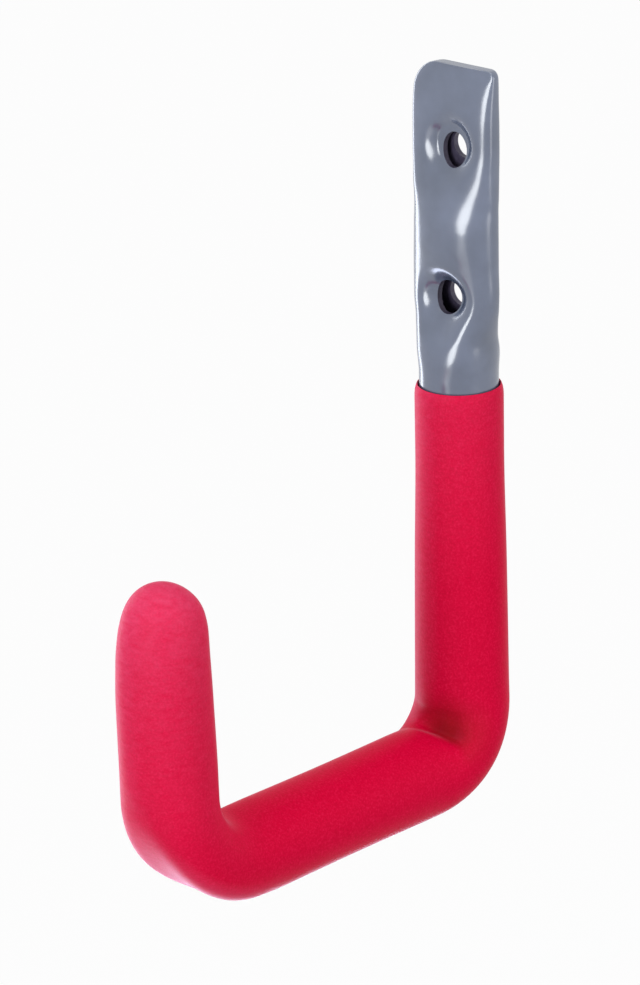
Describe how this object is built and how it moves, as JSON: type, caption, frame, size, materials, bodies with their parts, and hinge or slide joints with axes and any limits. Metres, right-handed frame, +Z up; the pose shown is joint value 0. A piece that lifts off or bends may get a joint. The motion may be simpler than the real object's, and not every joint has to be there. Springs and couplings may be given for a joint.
{
  "type": "rubber-coated wall hook",
  "caption": "Square-bottomed storage hook bent from one tube: a pressed upper end with two screw holes for a wall, and a rubber-dipped shank, arm and upturned tip.",
  "frame": {"origin": "on the flat back of the pressed end, half way between the two screw holes, where the hook is screwed to the wall", "axes": "+Z up along the shank, +Y into the wall, -Y along the arm to the tip, +X across the hook"},
  "size_m": [0.0218, 0.1018, 0.1554],
  "materials": {
    "grey_paint": "glossy blue-grey paint",
    "red_rubber": "soft matt red dip coating"
  },
  "bodies": {
    "root": {"steel_tube": "grey_paint", "rubber_coating": "red_rubber"}
  },
  "joints": []
}
